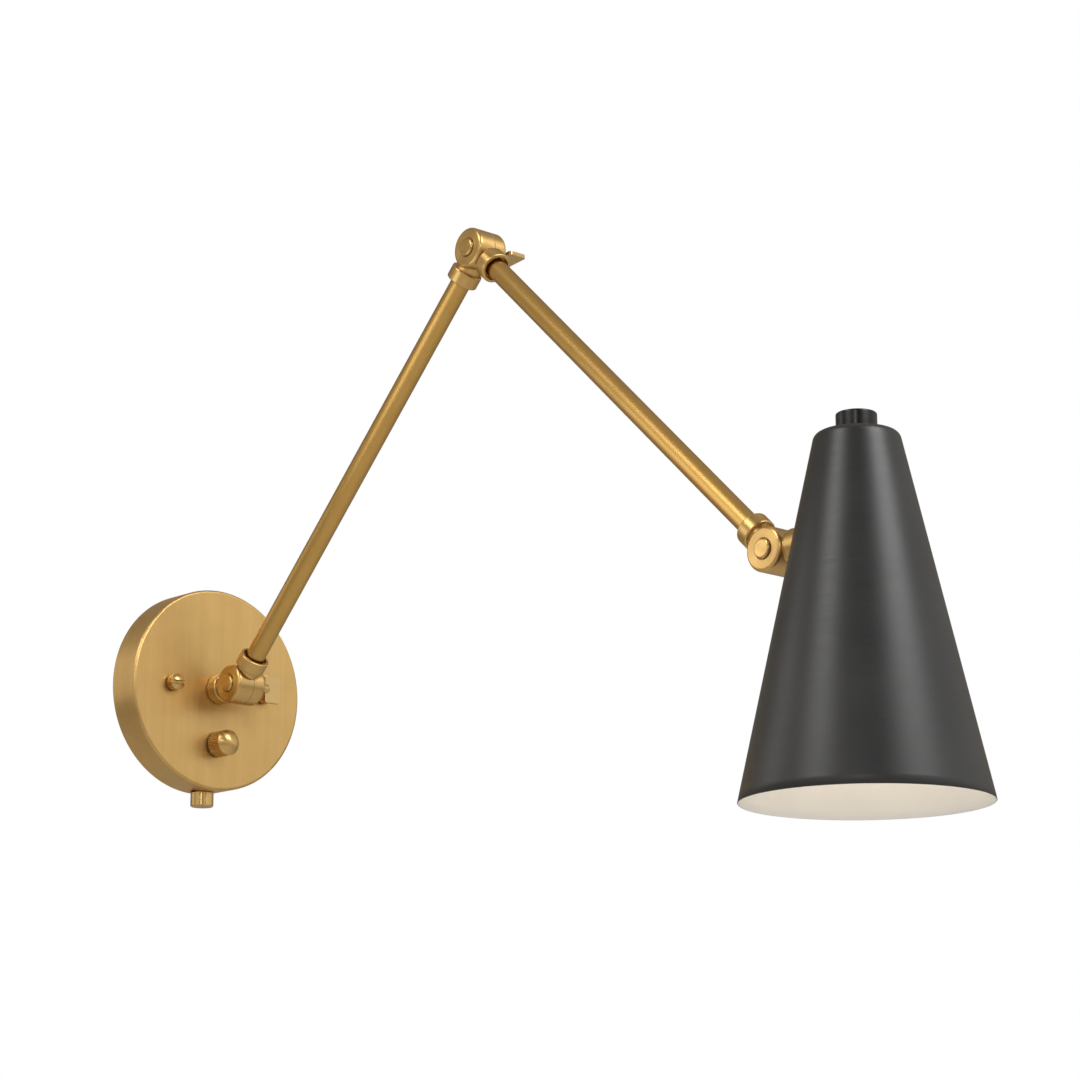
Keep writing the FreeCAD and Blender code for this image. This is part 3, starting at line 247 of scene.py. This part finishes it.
TUBE_BRASS = ((0.40, 0.215, 0.050, 1), (0.55, 0.33, 0.092, 1), (0.76, 0.54, 0.22, 1))
ARM_LOW_ENDS = {"inner_arm": "base_hinge", "outer_arm": "shade_hinge"}
elbow = Vector(joints["elbow_hinge"]["pos_m"])
for arm, low_end in ARM_LOW_ENDS.items():
    low = Vector(joints[low_end]["pos_m"])
    turn = (elbow - low).to_track_quat("Z", "X").to_euler()
    dress(arm + "_tube", metal(arm + "_brass", straight_marks, low, turn, TUBE_BRASS,
                              rough=(0.31, 0.37), grain=0.012))

# ------------------------------------------------------------------ shade
# A cone spun from 1 mm sheet steel, with a rounded shoulder to its flat top and a hole for the socket's
# nipple.  It is powder coated satin black outside and baked white inside.

shade_low, shade_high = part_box("shade")
SHADE_MIDDLE = ((shade_low.x + shade_high.x) / 2, (shade_low.y + shade_high.y) / 2)
SHADE_RIM = min(shade_high.x - shade_low.x, shade_high.y - shade_low.y) / 2
SHADE_SLOPE = math.radians(12.57)
SHADE_WALL = 0.001
SHADE_CORNER = 0.0048
SHADE_LIP = 0.00025
SHADE_HOLE = 0.0052
ROUND_STEPS = 192
SLOPE_STEPS = 40
CORNER_STEPS = 12


def spun(name, profile, painted_levels):
    """Spin a profile of (radius, height) points about the shade's own axis, painted up to a level."""
    mesh = bmesh.new()
    rings = []
    for radius, height in profile:
        ring = []
        for i in range(ROUND_STEPS):
            angle = 2 * math.pi * i / ROUND_STEPS
            ring.append(mesh.verts.new((SHADE_MIDDLE[0] + radius * math.cos(angle),
                                        SHADE_MIDDLE[1] + radius * math.sin(angle), height)))
        rings.append(ring)
    for level, (lower, upper) in enumerate(zip(rings, rings[1:])):
        for i in range(ROUND_STEPS):
            j = (i + 1) % ROUND_STEPS
            face = mesh.faces.new((lower[i], lower[j], upper[j], upper[i]))
            face.smooth = True
            face.material_index = 0 if level < painted_levels else 1
    bmesh.ops.recalc_face_normals(mesh, faces=mesh.faces)
    data = bpy.data.meshes.new(name)
    mesh.to_mesh(data)
    mesh.free()
    piece = bpy.data.objects.new(name, data)
    bpy.context.scene.collection.objects.link(piece)
    return piece


def shoulder(radius_rim, height_rim, height_top, corner):
    """Profile from the rim up the slope, round the shoulder and in along the top."""
    slope = math.tan(SHADE_SLOPE)
    top = radius_rim - slope * (height_top - height_rim)
    half = (math.pi / 2 - SHADE_SLOPE) / 2
    back = corner * math.tan(half)
    centre = (top - back, height_top - corner)
    points = []
    start_radius = centre[0] + corner * math.cos(SHADE_SLOPE)
    start_height = centre[1] + corner * math.sin(SHADE_SLOPE)
    for i in range(SLOPE_STEPS + 1):
        share = i / SLOPE_STEPS
        points.append((radius_rim + (start_radius - radius_rim) * share,
                       height_rim + (start_height - height_rim) * share))
    for i in range(1, CORNER_STEPS + 1):
        angle = SHADE_SLOPE + (math.pi / 2 - SHADE_SLOPE) * i / CORNER_STEPS
        points.append((centre[0] + corner * math.cos(angle), centre[1] + corner * math.sin(angle)))
    return points


def shade_profile():
    """Out from the lip, up the outside, in to the hole and down the inside; and how far the black goes."""
    inner_rim = SHADE_RIM - SHADE_WALL / math.cos(SHADE_SLOPE)
    lip_top = shade_low.z + SHADE_LIP
    inner_top = shade_high.z - SHADE_WALL
    start = (SHADE_RIM - SHADE_LIP, shade_low.z)
    outside = shoulder(SHADE_RIM, lip_top, shade_high.z, SHADE_CORNER)
    inside = shoulder(inner_rim, lip_top, inner_top, SHADE_CORNER - SHADE_WALL)
    points = [start] + outside + [(SHADE_HOLE, shade_high.z), (SHADE_HOLE, inner_top)]
    points += list(reversed(inside)) + [(inner_rim + SHADE_LIP, shade_low.z), start]
    return points, len(outside) + 1


def black_paint():
    """Satin black powder coat: a fine orange peel, faint spinning rings, a soft sheen and a painted highlight
    along the edges.
    """
    material, tree, shader = new_finish("shade_black")
    own = node(tree, "TexCoord").outputs["Object"]
    peel = node(tree, "TexNoise", {"Vector": own, "Scale": 1500.0, "Detail": 2.0, "Roughness": 0.5})
    rings = node(tree, "TexNoise", {"Vector": turning_marks(tree, (*SHADE_MIDDLE, 0), UPRIGHT),
                                    "Scale": 700.0, "Detail": 3.0})
    cloud = node(tree, "TexNoise", {"Vector": own, "Scale": 30.0, "Detail": 3.0})
    colour = blend_colour(tree, spread(tree, cloud.outputs[0], 0.35, 0.65, 0, 1), (0.013, 0.013, 0.0135, 1),
                          (0.018, 0.018, 0.0185, 1))
    rounded = node(tree, "Bevel", {"Radius": 0.0006}, samples=6).outputs[0]
    plain = node(tree, "NewGeometry").outputs["Normal"]
    facing = node(tree, "VectorMath", {0: rounded, 1: plain}, operation="DOT_PRODUCT").outputs["Value"]
    # The edges are lifted towards grey: a painted edge highlight.
    painted_edge_highlight = spread(tree, facing, 0.99, 0.85, 0.0, 0.5)
    colour = blend_colour(tree, painted_edge_highlight, colour, (0.09, 0.09, 0.09, 1))
    height = maths(tree, "ADD", peel.outputs[0], maths(tree, "MULTIPLY", rings.outputs[0], 0.35))
    bump = node(tree, "Bump", {"Height": height, "Normal": rounded, "Strength": 0.04, "Distance": 0.0003})
    tree.links.new(colour, shader.inputs["Base Color"])
    tree.links.new(spread(tree, rings.outputs[0], 0.3, 0.7, 0.38, 0.42), shader.inputs["Roughness"])
    tree.links.new(bump.outputs[0], shader.inputs["Normal"])
    shader.inputs["Specular IOR Level"].default_value = 0.5
    return material


def white_enamel():
    """White baked enamel of the shade's inside, with a light orange peel."""
    material, tree, shader = new_finish("shade_white")
    own = node(tree, "TexCoord").outputs["Object"]
    peel = node(tree, "TexNoise", {"Vector": own, "Scale": 1100.0, "Detail": 2.0})
    cloud = node(tree, "TexNoise", {"Vector": own, "Scale": 40.0, "Detail": 3.0})
    colour = blend_colour(tree, cloud.outputs[0], (0.775, 0.78, 0.795, 1), (0.84, 0.85, 0.86, 1))
    bump = node(tree, "Bump", {"Height": peel.outputs[0], "Strength": 0.05, "Distance": 0.0003})
    tree.links.new(colour, shader.inputs["Base Color"])
    tree.links.new(spread(tree, peel.outputs[0], 0.3, 0.7, 0.40, 0.52), shader.inputs["Roughness"])
    tree.links.new(bump.outputs[0], shader.inputs["Normal"])
    return material


profile, outside_levels = shade_profile()
shade = spun("shade_cone", profile, outside_levels)
shade.data.materials.append(black_paint())
shade.data.materials.append(white_enamel())
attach(shade, "shade")
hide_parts("shade")

# ------------------------------------------------------------------ shade cap and saddles
# Turned steel cap that clamps the shade's top, blackened, on the socket's nipple.  The brass saddle outside
# fits the cone's wall and carries the shade on its stem.

DARK = ((0.020, 0.019, 0.018, 1), (0.034, 0.033, 0.032, 1), (0.10, 0.098, 0.095, 1))
dress("shade_top_cap", metal("cap_dark", turning_marks, (*SHADE_MIDDLE, 0), UPRIGHT, DARK, rough=(0.26, 0.38),
                             edge=0.0004))
dress("shade_outer_saddle", metal("saddle_brass", turning_marks, middle_of("shade_outer_saddle"), ALONG_Y))

# ------------------------------------------------------------------ steel hardware
# Zinc-plated pieces behind the canopy and inside the shade: strap, studs, nuts, washers and nipples.
# The strap is punched from flat bar, and the rest are turned, pressed or cut from wire and tube.

ZINC = ((0.30, 0.31, 0.32, 1), (0.52, 0.53, 0.54, 1), (0.75, 0.76, 0.77, 1))
UPRIGHT_STEEL = ("socket_nipple", "socket_locknut", "socket_cup")
LEVEL_STEEL = ("canopy_studs", "stud_locknuts", "ground_screw", "switch_bushing_nut",
               "swivel_spring_washer", "swivel_locknut", "swivel_nipple", "swivel_bearing_washer",
               "shade_spring_washer", "shade_locknut", "shade_stem_nipple", "shade_inner_saddle")
for name in UPRIGHT_STEEL:
    dress(name, metal(name + "_zinc", turning_marks, middle_of(name), UPRIGHT, ZINC, edge=SMALL_EDGE))
for name in LEVEL_STEEL:
    dress(name, metal(name + "_zinc", turning_marks, middle_of(name), ALONG_Y, ZINC, edge=SMALL_EDGE))
for name in ("inner_arm_nipples", "outer_arm_nipples", "mounting_strap"):
    dress(name, metal(name + "_zinc", straight_marks, middle_of(name), ALONG_X, ZINC, edge=SMALL_EDGE))

# ------------------------------------------------------------------ plastic, fibre and insulation
# Moulded switch body and wire nuts, the leads' extruded insulation, and friction washers stamped from red
# hard fibre.  None of them is polished.


def moulded(name, first, second, rough=(0.42, 0.55), scale=1200.0, strength=0.08):
    """Moulded or extruded material: a fine skin, slow colour drift and softened edges."""
    material, tree, shader = new_finish(name)
    own = node(tree, "TexCoord").outputs["Object"]
    skin = node(tree, "TexNoise", {"Vector": own, "Scale": scale, "Detail": 3.0})
    cloud = node(tree, "TexNoise", {"Vector": own, "Scale": 90.0, "Detail": 2.0})
    rounded = node(tree, "Bevel", {"Radius": 0.0003}, samples=4).outputs[0]
    bump = node(tree, "Bump", {"Height": skin.outputs[0], "Normal": rounded, "Strength": strength,
                               "Distance": 0.0003})
    tree.links.new(blend_colour(tree, cloud.outputs[0], first, second), shader.inputs["Base Color"])
    tree.links.new(spread(tree, skin.outputs[0], 0.3, 0.7, *rough), shader.inputs["Roughness"])
    tree.links.new(bump.outputs[0], shader.inputs["Normal"])
    return material


dress("rotary_switch_body", moulded("switch_plastic", (0.02, 0.02, 0.021, 1), (0.035, 0.035, 0.036, 1)))
dress("wire_nuts", moulded("wire_nut_plastic", (0.50, 0.07, 0.02, 1), (0.62, 0.10, 0.03, 1)))
sheath = moulded("wire_sheath", (0.62, 0.60, 0.55, 1), (0.72, 0.70, 0.66, 1), rough=(0.35, 0.48))
for name in ("canopy_wires", "swivel_lead", "inner_arm_lead", "outer_arm_lead", "socket_lead"):
    dress(name, sheath)
fibre = moulded("hard_fibre", (0.16, 0.035, 0.02, 1), (0.24, 0.06, 0.035, 1), rough=(0.6, 0.8), strength=0.3)
for place in ("base", "elbow", "shade"):
    dress(place + "_friction_washer", fibre)

# ------------------------------------------------------------------ socket
# Glazed porcelain body with a rolled screw shell and a centre contact, both nickel plated, as the bulb's
# own base and tip are.

dress("socket_body", moulded("porcelain", (0.78, 0.76, 0.72, 1), (0.85, 0.83, 0.80, 1), rough=(0.12, 0.2)))
NICKEL = ((0.36, 0.34, 0.30, 1), (0.60, 0.58, 0.53, 1), (0.82, 0.80, 0.76, 1))
for name in ("socket_screw_shell", "socket_centre_contact", "bulb_screw_base", "bulb_contact_tip"):
    dress(name, metal(name + "_nickel", turning_marks, (*SHADE_MIDDLE, 0), UPRIGHT, NICKEL, rough=(0.2, 0.3)))

# ------------------------------------------------------------------ bulb
# A frosted plastic globe that glows warm, over a white moulded housing and a white light board.
# It screws into the socket.

dress("bulb_housing", moulded("housing_white", (0.78, 0.77, 0.75, 1), (0.84, 0.83, 0.82, 1),
                              rough=(0.3, 0.4)))
dress("bulb_light_board", moulded("board_white", (0.75, 0.75, 0.75, 1), (0.8, 0.8, 0.8, 1)))


def frosted_glow():
    """Frosted globe, lit evenly from inside."""
    material, tree, shader = new_finish("globe_frosted")
    own = node(tree, "TexCoord").outputs["Object"]
    frost = node(tree, "TexNoise", {"Vector": own, "Scale": 2500.0, "Detail": 2.0})
    bump = node(tree, "Bump", {"Height": frost.outputs[0], "Strength": 0.06, "Distance": 0.0002})
    glow = blend_colour(tree, frost.outputs[0], (1.0, 0.76, 0.50, 1), (1.0, 0.80, 0.56, 1))
    tree.links.new(glow, shader.inputs["Emission Color"])
    tree.links.new(bump.outputs[0], shader.inputs["Normal"])
    tree.links.new(spread(tree, frost.outputs[0], 0.3, 0.7, 0.35, 0.5), shader.inputs["Roughness"])
    shader.inputs["Base Color"].default_value = (0.9, 0.87, 0.82, 1)
    shader.inputs["Emission Strength"].default_value = 0.35
    return material


dress("bulb_globe", frosted_glow())

# The globe's skin only glows, so a warm point of light just under it lights the shade's inside.

BULB_LIGHT_DROP = 0.004
warm = bpy.data.lights.new("bulb_light", "POINT")
warm.energy = 0.075
warm.color = (1.0, 0.80, 0.55)
warm.shadow_soft_size = 0.02
bulb_lamp = bpy.data.objects.new("bulb_light", warm)
bulb_lamp.location = (*SHADE_MIDDLE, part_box("bulb_globe")[0].z - BULB_LIGHT_DROP)
bpy.context.scene.collection.objects.link(bulb_lamp)

# ------------------------------------------------------------------ floor
# A plain pale studio floor, well under the lamp, with faint clouds of a warmer and a cooler white.


def pale_floor():
    """One flat sheet, 12 m wide, 0.75 m under the canopy's middle."""
    reach, height = 6.0, -0.75
    data = bpy.data.meshes.new("floor")
    corners = [(reach * x, reach * y, height) for x, y in ((-1, -1), (1, -1), (1, 1), (-1, 1))]
    data.from_pydata(corners, [], [(0, 1, 2, 3)])
    floor = bpy.data.objects.new("floor", data)
    bpy.context.scene.collection.objects.link(floor)
    material, tree, shader = new_finish("floor_pale")
    own = node(tree, "TexCoord").outputs["Object"]
    cloud = node(tree, "TexNoise", {"Vector": own, "Scale": 2.0, "Detail": 3.0})
    colour = blend_colour(tree, cloud.outputs[0], (0.76, 0.75, 0.72, 1), (0.80, 0.79, 0.76, 1))
    tree.links.new(colour, shader.inputs["Base Color"])
    shader.inputs["Roughness"].default_value = 0.8
    data.materials.append(material)


pale_floor()

# ------------------------------------------------------------------ camera
# A long lens, from the lamp's left and a little below it, turned up to the shade's inside.

CAMERA_PLACE = (-1.0399, -1.4594, -0.3265)
CAMERA_TURN = math.radians(-42.45)
CAMERA_TILT = math.radians(103.51)
CAMERA_LENS = 94.92
SENSOR_WIDTH = 36.0


def make_camera():
    """The camera, level from side to side."""
    data = bpy.data.cameras.new("camera")
    data.lens = CAMERA_LENS
    data.sensor_width = SENSOR_WIDTH
    data.clip_start, data.clip_end = 0.05, 50.0
    camera = bpy.data.objects.new("camera", data)
    camera.location = CAMERA_PLACE
    camera.rotation_euler = (CAMERA_TILT, 0, CAMERA_TURN)
    bpy.context.scene.collection.objects.link(camera)
    bpy.context.scene.camera = camera


make_camera()

# ------------------------------------------------------------------ studio room and soft boxes
# A soft white room round the lamp, three soft boxes for the whole lamp, and two small weak ones close to
# it, which light the canopy's rim and the shade's joint.


def toward(turn, rise):
    """The way out from the lamp, turned to the right of the camera's place and risen above level."""
    turn, rise = math.radians(turn), math.radians(rise)
    back = (math.sin(CAMERA_TURN), -math.cos(CAMERA_TURN))
    right = (math.cos(CAMERA_TURN), math.sin(CAMERA_TURN))
    level = [math.cos(turn) * back[i] + math.sin(turn) * right[i] for i in (0, 1)]
    return (math.cos(rise) * level[0], math.cos(rise) * level[1], math.sin(rise))


def white_room():
    """Pure white to the camera; to everything else a room that is bright behind the lamp, darker in front
    of it and warm and dim below, as bounced light from a floor is."""
    world = bpy.data.worlds.new("room")
    bpy.context.scene.world = world
    world.use_nodes = True
    tree = world.node_tree
    tree.nodes.clear()
    way = node(tree, "TexCoord").outputs["Generated"]
    along = node(tree, "VectorMath", {0: way, 1: toward(180, 0)}, operation="DOT_PRODUCT").outputs["Value"]
    gap = node(tree, "VectorMath", {0: way, 1: toward(0, 38)}, operation="DOT_PRODUCT").outputs["Value"]
    up = node(tree, "SeparateXYZ", {0: way}).outputs[2]
    left = node(tree, "VectorMath", {0: way, 1: toward(-100, 14)}, operation="DOT_PRODUCT").outputs["Value"]
    aside = spread(tree, left, 0.5, 0.95, 1.0, 0.5)
    depth = spread(tree, along, 0.2, 0.85, 0.95, 0.30)
    height = spread(tree, up, -0.6, 0.05, 0.2, 1.0)
    above = spread(tree, up, 0.3, 0.8, 1.0, 0.55)
    front = spread(tree, gap, 0.72, 0.94, 1.0, 0.04)
    level = depth
    for share in (height, above, front, aside):
        level = maths(tree, "MULTIPLY", level, share)
    tint = blend_colour(tree, spread(tree, level, 0.3, 0.9, 1.0, 0.0), (1, 1, 1, 1), (1.0, 0.90, 0.74, 1))
    room = node(tree, "Background", {"Color": tint, "Strength": level})
    seen = node(tree, "Background", {"Color": (1, 1, 1, 1), "Strength": 1.0})
    straight = node(tree, "LightPath").outputs["Is Camera Ray"]
    mixed = node(tree, "MixShader", {0: straight, 1: room.outputs[0], 2: seen.outputs[0]})
    node(tree, "OutputWorld", {"Surface": mixed.outputs[0]})


def soft_box(name, target, way, away, size, watts):
    """A soft box that stands some way away from its target and faces it."""
    light = bpy.data.lights.new(name, "AREA")
    light.shape = "RECTANGLE"
    light.size, light.size_y = size
    light.energy = watts
    lamp = bpy.data.objects.new(name, light)
    lamp.location = target + away * Vector(way)
    lamp.visible_camera = False
    lamp.rotation_euler = (target - lamp.location).to_track_quat("-Z", "Y").to_euler()
    bpy.context.scene.collection.objects.link(lamp)


white_room()
lamp_middle = Vector((0, -0.28, 0.08))
soft_box("left_box", lamp_middle, toward(-48, 38), 2.0, (0.7, 0.8), 13)
soft_box("right_box", lamp_middle, toward(50, 38), 2.0, (0.9, 0.9), 22)
soft_box("front_box", lamp_middle, toward(-6, 13), 2.3, (0.35, 0.5), 4)
soft_box("rim_box", Vector(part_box("canopy")[0]), toward(-100, 20), 0.5, (0.3, 0.3), 0.15)
soft_box("near_box", Vector(joints["shade_hinge"]["pos_m"]), toward(-95, 14), 0.45, (0.2, 0.2), 0.2)
bpy.context.scene.view_settings.view_transform = "Standard"
